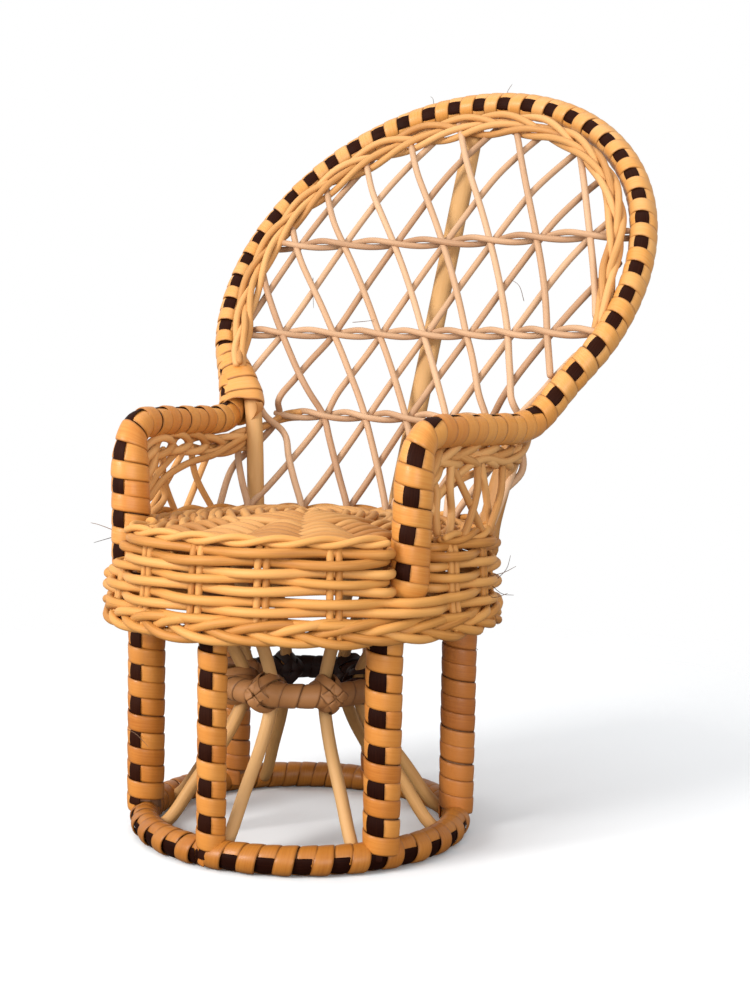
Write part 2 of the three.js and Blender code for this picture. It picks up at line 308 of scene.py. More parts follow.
def cane(name, pale, warm, deep, gloss, grain, edge=0.0, blotch=0.35, shine=0.35):
    """Rattan skin or core: streaks along it, a tone per length, blotches, and darker edges on strips."""
    material = bpy.data.materials.new(name)
    material.use_nodes = True
    tree = material.node_tree
    nodes, links = tree.nodes, tree.links
    nodes.clear()

    streaks = nodes.new("NodeFrame")
    streaks.label = "Streaks along the fibre"
    run = nodes.new("ShaderNodeUVMap")
    run.label = "Along and across"
    run.uv_map = "along"
    run.location = (-1500, 300)
    run.parent = streaks
    stretch = nodes.new("ShaderNodeMapping")
    stretch.label = "Stretch streaks"
    stretch.location = (-1300, 300)
    stretch.inputs["Scale"].default_value = (0.45, 9, 1)
    stretch.parent = streaks
    fibre = nodes.new("ShaderNodeTexNoise")
    fibre.label = "Fibre"
    fibre.location = (-1100, 300)
    fibre.inputs["Scale"].default_value = 1.6
    fibre.inputs["Detail"].default_value = 6
    fibre.inputs["Roughness"].default_value = 0.65
    fibre.parent = streaks

    tones = nodes.new("NodeFrame")
    tones.label = "Tone of each length and blotches"
    place = nodes.new("ShaderNodeTexCoord")
    place.label = "Place on the chair"
    place.location = (-1500, 0)
    place.parent = tones
    patches = nodes.new("ShaderNodeTexNoise")
    patches.label = "Blotches"
    patches.location = (-1300, 0)
    patches.inputs["Scale"].default_value = 55
    patches.inputs["Detail"].default_value = 3
    patches.parent = tones
    length_tone = nodes.new("ShaderNodeAttribute")
    length_tone.label = "Tone of this length"
    length_tone.location = (-1300, -250)
    length_tone.attribute_name = "shade"
    length_tone.parent = tones
    patchy = nodes.new("ShaderNodeMix")
    patchy.label = "Length tone with blotches"
    patchy.location = (-1080, -100)
    patchy.inputs["Factor"].default_value = blotch
    patchy.parent = tones
    streaky = nodes.new("ShaderNodeMix")
    streaky.label = "Add streaks"
    streaky.location = (-880, 100)
    streaky.inputs["Factor"].default_value = grain
    streaky.parent = tones

    stain = nodes.new("NodeFrame")
    stain.label = "Stain"
    colours = nodes.new("ShaderNodeValToRGB")
    colours.label = "Deep to pale"
    colours.location = (-680, 150)
    ramp = colours.color_ramp
    ramp.elements[0].position = 0.26
    ramp.elements[0].color = (*deep, 1)
    ramp.elements[1].position = 0.74
    ramp.elements[1].color = (*pale, 1)
    ramp.elements.new(0.47).color = (*warm, 1)
    colours.parent = stain

    borders = nodes.new("NodeFrame")
    borders.label = "Darker edges"
    parts = nodes.new("ShaderNodeSeparateXYZ")
    parts.label = "Side to side"
    parts.location = (-1300, 620)
    parts.parent = borders
    off_centre = nodes.new("ShaderNodeMath")
    off_centre.label = "From the middle"
    off_centre.operation = "SUBTRACT"
    off_centre.location = (-1120, 620)
    off_centre.inputs[1].default_value = 0.5
    off_centre.parent = borders
    reach = nodes.new("ShaderNodeMath")
    reach.label = "Either side"
    reach.operation = "ABSOLUTE"
    reach.location = (-960, 620)
    reach.parent = borders
    rim = nodes.new("ShaderNodeMapRange")
    rim.label = "Edge only"
    rim.location = (-800, 620)
    rim.inputs["From Min"].default_value = 0.33
    rim.inputs["From Max"].default_value = 0.5
    rim.inputs["To Max"].default_value = edge
    rim.parent = borders
    edged = nodes.new("ShaderNodeMix")
    edged.label = "Stain with edges"
    edged.data_type = "RGBA"
    edged.location = (-380, 300)
    edged.inputs["B"].default_value = (*(0.45 * value for value in deep), 1)
    edged.parent = borders

    relief = nodes.new("NodeFrame")
    relief.label = "Relief and polish"
    ridges = nodes.new("ShaderNodeBump")
    ridges.label = "Fibre ridges"
    ridges.location = (-380, -200)
    ridges.inputs["Strength"].default_value = 0.35
    ridges.inputs["Distance"].default_value = 0.0003
    ridges.parent = relief
    polish = nodes.new("ShaderNodeMapRange")
    polish.label = "Duller streaks"
    polish.location = (-380, 0)
    polish.inputs["To Min"].default_value = gloss
    polish.inputs["To Max"].default_value = gloss + 0.18
    polish.parent = relief

    surface = nodes.new("ShaderNodeBsdfPrincipled")
    surface.label = "Cane"
    surface.location = (-80, 150)
    surface.inputs["IOR"].default_value = 1.48
    surface.inputs["Specular IOR Level"].default_value = shine
    surface.inputs["Coat Weight"].default_value = 0.1 if gloss < 0.4 else 0.0
    surface.inputs["Coat Roughness"].default_value = 0.22
    shown = nodes.new("ShaderNodeOutputMaterial")
    shown.label = "Shown"
    shown.location = (240, 150)

    links.new(run.outputs["UV"], stretch.inputs["Vector"])
    links.new(stretch.outputs["Vector"], fibre.inputs["Vector"])
    links.new(place.outputs["Object"], patches.inputs["Vector"])
    links.new(length_tone.outputs["Fac"], patchy.inputs["A"])
    links.new(patches.outputs["Fac"], patchy.inputs["B"])
    links.new(patchy.outputs["Result"], streaky.inputs["A"])
    links.new(fibre.outputs["Fac"], streaky.inputs["B"])
    links.new(streaky.outputs["Result"], colours.inputs["Fac"])
    links.new(run.outputs["UV"], parts.inputs["Vector"])
    links.new(parts.outputs["Y"], off_centre.inputs[0])
    links.new(off_centre.outputs["Value"], reach.inputs[0])
    links.new(reach.outputs["Value"], rim.inputs["Value"])
    links.new(rim.outputs["Result"], edged.inputs["Factor"])
    links.new(colours.outputs["Color"], edged.inputs["A"])
    links.new(fibre.outputs["Fac"], ridges.inputs["Height"])
    links.new(fibre.outputs["Fac"], polish.inputs["Value"])
    links.new(edged.outputs["Result"], surface.inputs["Base Color"])
    links.new(polish.outputs["Result"], surface.inputs["Roughness"])
    links.new(ridges.outputs["Normal"], surface.inputs["Normal"])
    links.new(surface.outputs["BSDF"], shown.inputs["Surface"])
    return material


# Bindings: strips with darker edges.
honey_cane = cane("honey_cane", (0.63, 0.355, 0.135), (0.6, 0.26, 0.054), (0.5, 0.165, 0.024),
                  gloss=0.36, grain=0.45, edge=0.8)
leg_cane = cane("leg_cane", (0.62, 0.26, 0.052), (0.53, 0.19, 0.028), (0.41, 0.125, 0.014),
                gloss=0.36, grain=0.45, edge=0.8)
# The floor ring's cane is darker than the legs': painted shade, for the little light that reaches it from
# below.
base_cane_painted_shade = cane("base_cane_painted_shade", (0.52, 0.225, 0.043), (0.44, 0.165, 0.024), (0.34, 0.108, 0.012),
                 gloss=0.36, grain=0.45, edge=0.8)
orange_cane = cane("orange_cane", (0.5, 0.18, 0.035), (0.43, 0.142, 0.024), (0.31, 0.087, 0.014),
                   gloss=0.39, grain=0.45, edge=0.8)
dark_cane = cane("dark_cane", (0.032, 0.008, 0.003), (0.015, 0.003, 0.001), (0.006, 0.001, 0.001),
                 gloss=0.45, grain=0.6, shine=0.05)
# The waist cane runs from brown to nearly black; its dark end is partly darker cane and partly painted
# shade.
waist_cane_and_painted_shade = cane("waist_cane_and_painted_shade", (0.36, 0.16, 0.055), (0.16, 0.055, 0.022), (0.02, 0.007, 0.005),
                  gloss=0.42, grain=0.12, edge=0.6, blotch=0.15)

# Round reeds, bare rods and frayed fibres.
back_reed = cane("back_reed", (0.58, 0.36, 0.21), (0.49, 0.29, 0.162), (0.36, 0.19, 0.1),
                 gloss=0.52, grain=0.45)
seat_reed = cane("seat_reed", (0.64, 0.315, 0.092), (0.55, 0.245, 0.055), (0.39, 0.15, 0.028),
                 gloss=0.48, grain=0.45)
# The mat's reed is a darker copy of the seat's: painted shade on the seat's top, so that it looks less lit
# from above.
mat_reed_painted_shade = cane("mat_reed_painted_shade", (0.56, 0.29, 0.096), (0.47, 0.218, 0.062), (0.33, 0.135, 0.034),
                gloss=0.5, grain=0.45)
rod_cane = cane("rod_cane", (0.56, 0.32, 0.13), (0.5, 0.265, 0.09), (0.36, 0.165, 0.048),
                gloss=0.5, grain=0.35)
braid_reed = cane("braid_reed", (0.64, 0.34, 0.125), (0.55, 0.27, 0.085), (0.4, 0.17, 0.045),
                  gloss=0.5, grain=0.45)
loose_fibre = cane("loose_fibre", (0.2, 0.1, 0.05), (0.09, 0.045, 0.025), (0.03, 0.015, 0.01),
                   gloss=0.6, grain=0.3)


# ---------------------------------------------------------------- wound cane


def wind(name, points, facing, tube, pitch, material, replaced, dark_width=0.0, tone=None):
    """Winds a flat strip round a rod. With a dark width, a dark strip runs along under every second turn.

    facing is the side the dark strip lies on, tube(point) the outside radius and pitch(share) how far
    a turn moves the strip on. tone(share) is the shade of a turn, where it isn't left to chance.
    """
    steps = 18
    thick = 0.75
    sunk = 0.6 * thick
    half_strip = 0.53
    over_dark, beneath_dark = 0.75, -0.35
    dark_thick = 0.45
    length = sum((b - a).length for a, b in zip(points, points[1:])) / MM
    marks = [0.0]
    while marks[-1] < length:
        marks.append(marks[-1] + pitch(marks[-1] / length))
    turns = len(marks) - 1 - (len(marks) - 1) % 2
    marks = [mark * length / marks[turns] for mark in marks[:turns + 1]]
    sides = turned_sides(points, False, facing)
    last = len(points) - 1

    def place(distance):
        at = distance / length * last
        i = min(max(int(at), 0), last - 1)
        part = at - i
        out, across = ((here + (there - here) * part).normalized()
                       for here, there in zip(sides[i], sides[i + 1]))
        return points[i] + (points[i + 1] - points[i]) * part, out, across

    def lift(turn, angle, size):
        """How far a turn rises over the dark strip, or sinks beneath it."""
        if not dark_width:
            return 0.0
        near = max(0.0, 1 - (abs(angle) * size / (dark_width / 2 + 1.3)) ** 4)
        return (over_dark if turn % 2 else beneath_dark) * near

    tones = [chance.random() if tone is None else tone(turn / turns) for turn in range(turns + 2)]
    drift = [chance.uniform(-0.06, 0.06) for _ in range(turns + 2)]
    rows, shades = [], []
    for i in range(turns * steps + 1):
        turn = (i + steps // 2) // steps
        angle = 2 * math.pi * i / steps
        from_dark = (angle + math.pi) % (2 * math.pi) - math.pi
        here = blend_between(marks, i / steps)
        local = pitch(here / length)
        row = []
        for side in (1, 0.55, -0.55, -1):
            point, out, across = place(here + (side * half_strip + drift[turn]) * local)
            size = tube(point) - sunk
            reach = size + 0.2 * (1 - side * side) + 0.16 * side + lift(turn, from_dark, size)
            row.append(point + reach * MM * (math.cos(angle) * out - math.sin(angle) * across))
        rows.append(row)
        shades.append(tones[turn])
    strip = blank()
    lay_strip(strip, rows, shades)
    make_piece(strip, name, material, replaced, thick)
    if not dark_width:
        return

    rows = []
    dark_steps = 6
    for i in range(turns * dark_steps + 1):
        turn = i / dark_steps
        point, out, across = place(blend_between(marks, turn))
        size = tube(point) - sunk
        reach = size + 0.16 + 0.46 * math.cos(math.pi * turn)
        row = []
        for side in (1, 0, -1):
            angle = side * dark_width / 2 / size
            row.append(point + reach * MM * (math.cos(angle) * out + math.sin(angle) * across))
        rows.append(row)
    under = blank()
    lay_strip(under, rows, [chance.random()] * len(rows))
    make_piece(under, f"{name}_dark_strip", dark_cane, (), dark_thick)


def even_pitch(size):
    return lambda share: size


# Floor ring. Its dark strip lies on the outside and faces a little down. Its turns take the deepest tones
# of a darker cane: painted shade, as little light reaches the ring from below.
ring_turns = 60
ring_start = -3.3
ring_height = 6
ring_line = [around(base_radius, 2 * i + ring_start, ring_height) for i in range(181)]
ring_facing = [around(1, 2 * i + ring_start, ring_height - 0.25) - spot(0, 0, ring_height)
               for i in range(181)]
ring_length = sum((b - a).length for a, b in zip(ring_line, ring_line[1:])) / MM
wind("floor_ring_winding", ring_line, ring_facing, lambda point: base_tube - 0.2,
     even_pitch(ring_length / ring_turns), base_cane_painted_shade, ("base_ring_binding",),
     dark_width=6.4, tone=lambda share: chance.uniform(0, 0.2))

# Legs. The front three have a dark strip: its turn from the front, its width, and the height that
# the winding starts at. The rear three have none, and a browner winding.
leg_strips = {"left": (0, 5.0, 9.2), "front": (5, 5.2, 4), "right": (7, 6.6, 4.4)}
rear_leg_foot = 6.2
leg_length = 88
leg_pitch = 6.27
for leg in ("left", "front", "right", "rear_right", "rear", "rear_left"):
    centre = middle(f"leg_{leg}_binding")
    leg_tube = half_width(f"leg_{leg}_binding")
    turn, dark_width, foot_height = leg_strips.get(leg, (0, 0.0, rear_leg_foot))
    foot = Vector((centre.x, centre.y, foot_height * MM))
    leg_line = evenly([foot, foot + Vector((0, 0, leg_length * MM))], 3)
    facing = Vector((math.sin(math.radians(turn)), -math.cos(math.radians(turn)), 0))
    if not dark_width:
        facing = axis - Vector((centre.x, centre.y, 0))
    wind(f"leg_{leg}_winding", leg_line, facing, lambda point: leg_tube, even_pitch(leg_pitch),
         leg_cane if dark_width else orange_cane, (f"leg_{leg}_binding",),
         dark_width=dark_width)

# The one rod that makes the posts, arms and hoop.


def on_hoop(degrees, scale, forward=0.0):
    """A point of the hoop, at an angle from its top; a smaller scale is further in."""
    angle = math.radians(degrees)
    return (hoop_centre + scale * hoop_half_width * MM * math.sin(angle) * Vector((1, 0, 0))
            + scale * hoop_half_height * MM * math.cos(angle) * hoop_up + forward * MM * hoop_front)


side_stops = [(60.2, -28.2, 125), (60.9, -27.6, 143), (61.4, -24.2, 150.4),
              (62.4, -16.5, 152.8), (65.6, 20, 153.2), (68.4, 44, 153.8), (70.8, 53.8, 157.8)]
arc_end = 124
arc_stops = [on_hoop(arc_end * (1 - i / 9), 1) for i in range(19)]
right_foot, left_foot = spot(59.6, -28.6, 93.7), spot(-59.6, -28.6, 92.2)
rod_line = smooth_line([right_foot] + [spot(*stop) for stop in side_stops] + arc_stops
                       + [spot(-x, y, z) for x, y, z in reversed(side_stops)] + [left_foot], 2.5)
post_top = 150


def rod_size(point):
    """The posts are stouter than the arms, and thin out at their feet, behind the lowest weavers."""
    if (point.y - axis.y) / MM > -15:
        return rod_tube
    height = (point.z - axis.z) / MM
    swell = 0.22 if point.x > 0 else 0.28
    thinned = 2.6 * smoothstep(post_foot - height, 0, 4)
    return rod_tube * (1 + swell * smoothstep(post_top - height, 0, 14)) - thinned


# The dark strip slides round the hoop: its turn from the front, at even steps from left to right.
strip_turns = [0, -14, -16, -18, -26, -36, -28, -12, 8, 18, 30]
strip_step = 25


def rod_facing(point):
    """The side of the rod that shows the dark strip."""
    back = (point.y - axis.y) / MM
    height = (point.z - axis.z) / MM
    if back < -19:
        turn = math.radians(1 + 21 * smoothstep(height, 100, 130) if point.x > 0 else -4)
        return Vector((math.sin(turn), -math.cos(turn), 0.0))
    if back < 50 and height < 160:
        return Vector((-0.27, 0, 0.96))
    outward = point - hoop_centre
    round_hoop = math.degrees(math.atan2(outward.x, outward.dot(hoop_up)))
    turn = math.radians(blend_between(strip_turns, (round_hoop + 5 * strip_step) / strip_step))
    outward = (outward - hoop_front * outward.dot(hoop_front)).normalized()
    return hoop_front * math.cos(turn) + outward * math.sin(turn)


rough_facing = [rod_facing(point) for point in rod_line]
steady_facing = []
for i in range(len(rod_line)):
    near = rough_facing[max(i - 4, 0):i + 5]
    steady_facing.append(sum(near, Vector()).normalized())


def rod_pitch(share):
    """The posts' turns lie close, the arms' are wider."""
    if share < 0.08 or share > 0.92:
        return 6.33 if share < 0.5 else 6.2
    return 7.0 if share < 0.19 or share > 0.81 else 6.4


def rod_tone(share):
    """The hoop is paler than the posts and arms."""
    return 0.2 + 0.42 * smoothstep(min(share, 1 - share), 0.12, 0.3) + chance.uniform(-0.2, 0.2)


wind("rod_winding", rod_line, steady_facing, rod_size, rod_pitch, honey_cane,
     ("arm_and_hoop_binding",), dark_width=5.6, tone=rod_tone)

# Waist ring: brown in front, nearly black behind, lashed to each stick. The dark rear is partly darker
# cane and partly painted shade under the seat.
waist_pitch = 6.2
waist_line = [around(waist_radius, 3 * i, waist_height) for i in range(121)]
waist_facing = [around(1, 3 * i, waist_height) - spot(0, 0, waist_height) for i in range(121)]


# A turn's tone: brown in front, nearly black behind, partly darker cane and partly painted shade under the
# seat.
def waist_tone_and_painted_shade(share):
    from_front = 1 - abs(1 - 2 * share)
    return 0.95 - 0.95 * smoothstep(from_front, 0.35, 0.6) + chance.uniform(-0.08, 0.08)


wind("waist_winding", waist_line, waist_facing, lambda point: waist_tube, even_pitch(waist_pitch),
     waist_cane_and_painted_shade, ("waist_ring_binding",), tone=waist_tone_and_painted_shade)


def lay_loop(work, centre, long_way, long_size, short_way, short_size, half_strip, shade):
    """A closed strip round a bundle of rods."""
    lean = long_way.cross(short_way)
    rows = []
    steps = 24
    for i in range(steps + 1):
        angle = 2 * math.pi * i / steps
        out = math.cos(angle) * long_size * long_way + math.sin(angle) * short_size * short_way
        flat = out.normalized()
        rows.append([centre + out * MM + lean * across * half_strip * MM - flat * 0.25 * abs(across) * MM
                     for across in (-1, 0, 1)])
    lay_strip(work, rows, [shade] * len(rows))


lashings = blank()
for degrees in stick_angles:
    radial = (around(1, degrees, 0) - spot(0, 0, 0)).normalized()
    tangent = UP.cross(radial)
    centre = around(waist_radius - 3.4, degrees, waist_height)
    # The lashings are brown in front and nearly black behind: partly darker cane, partly painted shade
    # under the seat.
    lashing_tone_and_painted_shade = 0.9 - 0.8 * smoothstep(abs(degrees), 70, 110)
    for lean, offset in ((46, -2.4), (46, 1.5), (-40, -2.2), (-40, 2.2)):
        turn = math.radians(lean + chance.uniform(-6, 6))
        side = math.cos(turn) * UP + math.sin(turn) * tangent
        shift = (math.sin(turn) * UP - math.cos(turn) * tangent) * -offset * MM
        over = 0.4 if lean < 0 else 0.0
        lay_loop(lashings, centre + shift, radial, 8.7 + over, side, 6.2 + over, 1.9,
                 lashing_tone_and_painted_shade + chance.uniform(-0.1, 0.1))
make_piece(lashings, "waist_lashings", waist_cane_and_painted_shade, (), 0.6)

for number, degrees in enumerate(stick_angles, 1):
    stops = [(56.2, 5.4)] + stick_curve
    line = smooth_line([around(radius, degrees, height) for radius, height in stops], 5)
    name = f"waist_stick_{number}"
    single_reed(f"{name}_cane", name, line, 2.25, rod_cane, sides=8)

# ---------------------------------------------------------------- seat


def at_post(point, clear):
    """Whether a point is above the foot of a post and nearer than that to it."""
    return (point.z - axis.z > post_foot * MM
            and any((point - post).xy.length < clear * MM for post in post_places))


def beside_posts(line, clear):
    """The runs of a closed line that are left where the posts stand in its way, or the whole line."""
    shortest = 3
    stopped = [at_post(point, clear) for point in line]
    if not any(stopped):
        return [line], True
    first = stopped.index(True)
    order = line[first:] + line[:first]
    flags = stopped[first:] + stopped[:first]
    runs, current = [], []
    for point, stop in zip(order, flags):
        if stop:
            if len(current) > shortest:
                runs.append(current)
            current = []
        else:
            current.append(point)
    if len(current) > shortest:
        runs.append(current)
    return runs, False


def drawn_in(degrees, height):
    """How far the top of the seat is drawn in beside the left post, towards the front."""
    turn = -((degrees + 180) % 360 - 180)
    return 12 * smoothstep(turn, 32, 47) * (1 - smoothstep(turn, 63, 75)) * smoothstep(height, 101, 108)


def dome(radius):
    """The height of the mat, highest in the middle."""
    return 115.5 + 6 * (1 - (radius / mat_radius) ** 2)


def lay_ring(work, place, spacing, radius, size, clear):
    """A closed weaver; place(degrees) gives its line."""
    count = max(24, round(2 * math.pi * radius / spacing))
    runs, whole = beside_posts([place(360 * i / count) for i in range(count)], clear)
    for run in runs:
        lay_reed(work, run, size * chance.uniform(0.93, 1.06), closed=whole)


def weave(degrees, spokes, row):
    """From 1 in front of a spoke to -1 behind the next; the row above goes the other way."""
    return math.cos(math.radians(degrees) * spokes / 2 + math.pi * row)


band = blank()
band_rows = 8
band_foot = 89.6
row_rise = 3.38
for row in range(band_rows):
    height = band_foot + row_rise * row
    flare = 1.3 - 0.16 * row
    slow = chance.uniform(0, 360)

    def weaver_line(degrees):
        swing = 2.4 * weave(degrees, spoke_count, row)
        drift = (0.6 * math.sin(math.radians(2 * degrees + slow))
                 + 0.45 * math.sin(math.radians(7 * degrees + 3 * slow)))
        if row < 3:
            drift *= 0.4
        # The rows above the foot of a post pass behind it, and two rows below pass in front.
        from_post = abs(abs((degrees + 180) % 360 - 180) - post_angle)
        radius = band_radius + flare + swing
        if height > post_foot - 1:
            radius -= max(12.5 / (1 + (from_post / 6.6) ** 8), drawn_in(degrees, height))
        elif row:
            radius += (74.2 - radius) / (1 + (from_post / 7.5) ** 6)
        return around(radius, degrees, height + drift)

    lay_ring(band, weaver_line, 2.7, band_radius, weaver + 0.12, 0)
make_piece(band, "seat_weavers", seat_reed, ("seat_band",))

# The spokes stand in pairs and turn in under the mat; every third pair runs on to its middle.
mat_sink = 2.2
spokes = blank()
for number in range(spoke_count):
    for side in (-1, 1):
        degrees = 360 * number / spoke_count + side * 1.25
        inner = 3 if number % 3 == 0 else 33
        stops = [around(radius - drawn_in(degrees, height), degrees, height) for radius, height in (
            (72.4, 83.5), (band_radius + 0.9, 91), (band_radius, 103), (band_radius - 0.6, 112),
            (67.4, 116), (63, 116.2))]
        radius = 54
        while radius > inner:
            spread = degrees + side * 1.25 * (band_radius / radius - 1)
            stops.append(around(radius, spread, dome(radius) - mat_sink))
            radius -= 10
        line = smooth_line(stops, 4.5)
        if not any(at_post(point, rod_tube * post_swell + 1.4) for point in line):
            lay_reed(spokes, line, 1.3)
make_piece(spokes, "seat_spokes", seat_reed)

mat = blank()
mat_rows = 23
mat_edge = 64.8
mat_step = 2.75
for row in range(mat_rows):
    radius = mat_edge - mat_step * row
    ribs = spoke_count if radius > 34 else 6
    swing = 2.2 if radius > 34 else 2.0
    slow = chance.uniform(0, 360)

    def mat_line(degrees):
        wander = 0.5 * math.sin(math.radians(3 * degrees + slow))
        edge = radius + wander - drawn_in(degrees, 110) * (radius / mat_radius) ** 3
        return around(edge, degrees, dome(radius) - mat_sink + swing * weave(degrees, ribs, row))

    lay_ring(mat, mat_line, 3.4, radius, weaver, rod_tube * post_swell + weaver + 0.2)
make_piece(mat, "seat_mat_weavers", mat_reed_painted_shade, ("seat_mat",))


def braid(work, middle_line, sideways, forward, strands, width, depth, size, wave, closed=False):
    """A flat braid along a line. Its strands swing to each side by width(share), as often as wave says."""
    count = len(middle_line) - (0 if closed else 1)
    for strand in range(strands):
        line = []
        for i, point in enumerate(middle_line):
            share = i / count
            angle = 2 * math.pi * (wave * share + strand / strands)
            wobble = 1 + 0.16 * math.sin(2 * math.pi * (round(wave / 2) * share + 0.33 * strand))
            line.append(point + sideways(i) * width(share) * wobble * MM * math.sin(angle)
                        + forward(i) * depth * MM * math.sin(2 * angle))
        lay_reed(work, line, size, closed=closed)


def rim_twist(work, low, high, length, offset, size, twists):
    """Two strands twisted together along the rim, from one angle to another."""
    count = round(length / 2.6)
    for strand in range(2):
        line = []
        for i in range(count + 1):
            share = i / count
            degrees = low + (high - low) * share
            point = around(rim_radius - drawn_in(degrees, rim_height), degrees, rim_height)
            out = (point - spot(0, 0, rim_height)).normalized()
            angle = 2 * math.pi * (share * twists + strand / 2)
            line.append(point + offset * MM * (math.cos(angle) * out + math.sin(angle) * UP))
        lay_reed(work, line, size)


border = blank()
border_line = [around(border_radius, 2 * i, border_height) for i in range(180)]
braid(border, border_line, lambda i: UP,
      lambda i: (border_line[i] - spot(0, 0, border_height)).normalized(), strands=5,
      width=lambda share: 3.3, depth=2.0, size=1.7, wave=6, closed=True)
make_piece(border, "seat_border_rope", seat_reed, ("seat_border",))

# The rim's twist is broken by the two posts.
rims = blank()
rim_twist(rims, -56, 56, length=136, offset=1.25, size=1.25, twists=4.5)
rim_twist(rims, 74, 286, length=258, offset=1.35, size=1.3, twists=8.5)
make_piece(rims, "seat_rim_twist", seat_reed, ("seat_rim_front", "seat_rim_back"))

# ---------------------------------------------------------------- back


def surface(row, column):
    """A point of the lattice, which bends to the hoop near it. Rows and columns may be fractions."""
    x = column * blend_between(column_spacing, row)
    z = blend_between(row_heights, row)
    flat = back_foot + back_slope * (z - row_heights[0]) - blend_between(row_dish, row) * x * x
    up = (z - hoop_height) / math.cos(hoop_tilt)
    reach = math.hypot(x / hoop_half_width, max(up, -0.45 * hoop_half_height) / hoop_half_height)
    to_hoop = smoothstep(reach, 0.5, 0.93) if row > 1 else 0
    hoop_y = hoop_back + (z - hoop_height) * math.tan(hoop_tilt)
    return spot(x, flat + (hoop_y - flat) * to_hoop, z)


def lattice(row, column, behind):
    """The same point moved square to the lattice, towards the chair's rear."""
    across = surface(row, column + 0.1) - surface(row, column - 0.1)
    rise = surface(row + 0.1, column) - surface(max(row - 0.1, 0), column)
    return surface(row, column) + rise.cross(across).normalized() * behind * MM


def reaches_hoop(row, column):
    """Whether a point of the lattice lies under the hoop's rod or beyond it."""
    point = surface(row, column) - hoop_centre
    up = point.z / math.cos(hoop_tilt)
    return math.hypot(point.x / hoop_half_width, up / hoop_half_height) / MM > 0.925


def reed_rows(foot_column, lean):
    """The rows a reed starts and ends at: between the stakes low down, inside the hoop above."""
    rows = []
    hoop_foot = 176
    for step in range(100):
        row = step * 0.05
        column = foot_column + lean * row
        if row_heights[0] + row * 38 < hoop_foot:
            inside = abs((surface(row, column) - axis).x) < (62 + 7 * row) * MM
        else:
            inside = not reaches_hoop(row, column)
        if inside:
            rows.append(row)
    return rows[0], rows[-1]


family_gap = 1.6
for family, lean in (("left", -1), ("right", 1)):
    for number in range(-3, 7):
        foot_column = -lean * number
        low, high = reed_rows(foot_column, lean)
        bends = max(3, round((high - low) * 4))
        rows = [low + (high - low) * i / bends for i in range(bends + 1)]
        stops = [lattice(row, foot_column + lean * row, lean * family_gap) for row in rows]
        if low == 0:
            stops.insert(0, stops[0] + Vector((0, 0, -5 * MM)))
        elif low < 1:
            # The outermost reeds start at the seat's rim, beside the stakes.
            stops.insert(0, around(69.3, math.copysign(117, stops[0].x), 116))
        if high < 1:
            # The lowest outward reeds are tucked in under the arms.
            stops.append(spot(math.copysign(64.5, stops[-1].x), 51, 147.5))
        name = f"reed_{family}_{number + 4}"
        single_reed(f"{name}_cane", name, smooth_line(stops, 4), 1.48, back_reed)

# Twined rows: two strands that pass each other between the crossings, from side to side of the hoop.
for number, row, left_reach, right_reach in ((1, 3, 3.68, 3.75), (2, 2, 3.85, 4.1), (3, 1, 3.15, 3.15)):
    work = blank()
    for side in (1, -1):
        count = round((left_reach + right_reach) * 8)
        stops = []
        for i in range(count + 1):
            column = -left_reach + (left_reach + right_reach) * i / count
            lifted = 1.5 * side * math.sin(math.pi * column)
            depth = 3.9 * side * math.cos(math.pi * column)
            stops.append(surface(row, column) + Vector((0, depth, lifted)) * MM)
        lay_reed(work, smooth_line(stops, 3.2), 1.36)
    make_piece(work, f"twined_row_{number}_strands", back_reed, (f"twined_row_{number}",))


def braid_spread(share):
    """How much wider and further in the braid lies near the top of the hoop."""
    return math.exp(-((share - 0.55) / 0.2) ** 2)


def left_end(share):
    """The left end of the braid narrows."""
    return smoothstep(share, 0.94, 1)


def right_end(share):
    """The right end of the braid slips behind the hoop."""
    return smoothstep(0.14 - share, 0, 0.11)


braid_line = []
braid_points = 140
for i in range(braid_points + 1):
    share = i / braid_points
    inward = 9.8 + 4.7 * braid_spread(share) - 3 * left_end(share) - 6 * right_end(share)
    forward = 5 - 1.5 * braid_spread(share) - 9 * right_end(share)
    braid_line.append(on_hoop(125 * (1 - 2 * share), 1 - inward / hoop_half_width, forward))


def braid_sideways(i):
    return (braid_line[i] - hoop_centre).normalized()


def braid_width(share):
    """How far the strands swing to each side of the braid's middle."""
    spread = 2.5 + 2.5 * braid_spread(share) + 0.6 * smoothstep(share, 0.6, 0.9)
    return spread * (1 - 0.65 * max(left_end(share), right_end(share)))


braided = blank()
braid(braided, braid_line, braid_sideways, lambda i: hoop_front,
      strands=5, width=braid_width, depth=2.1, size=1.55, wave=3.4)
make_piece(braided, "hoop_braid_strands", braid_reed, ("hoop_braid",))

# The pole behind the lattice, wider than it is thick. Its top stands a little left of its foot.
pole_low, pole_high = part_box("back_pole")
pole_inset = 2.6 * MM
pole_foot = Vector((0, pole_low.y + pole_inset, pole_low.z - 3 * MM))
pole_top = Vector((-3 * MM, pole_high.y - pole_inset, pole_high.z + 1 * MM))
single_reed("back_pole_cane", "back_pole", evenly([pole_foot, pole_top], 8), 2.9, rod_cane,
            sides=8, widen=1.45)


def beside_elbow(side, height):
    """Where the rod rises from the arm to the hoop: its point, direction and the way to the inside."""
    level = axis.z + height * MM
    near = [i for i, point in enumerate(rod_line) if point.x * side > 0 and (point.y - axis.y) / MM > 40]
    at = min(near, key=lambda i: abs(rod_line[i].z - level))
    along = (rod_line[at + 1] - rod_line[at - 1]).normalized()
    point = rod_line[at] + along * ((level - rod_line[at].z) / along.z)
    inward = (hoop_centre - point).normalized()
    return point, along, (inward - along * inward.dot(along)).normalized()


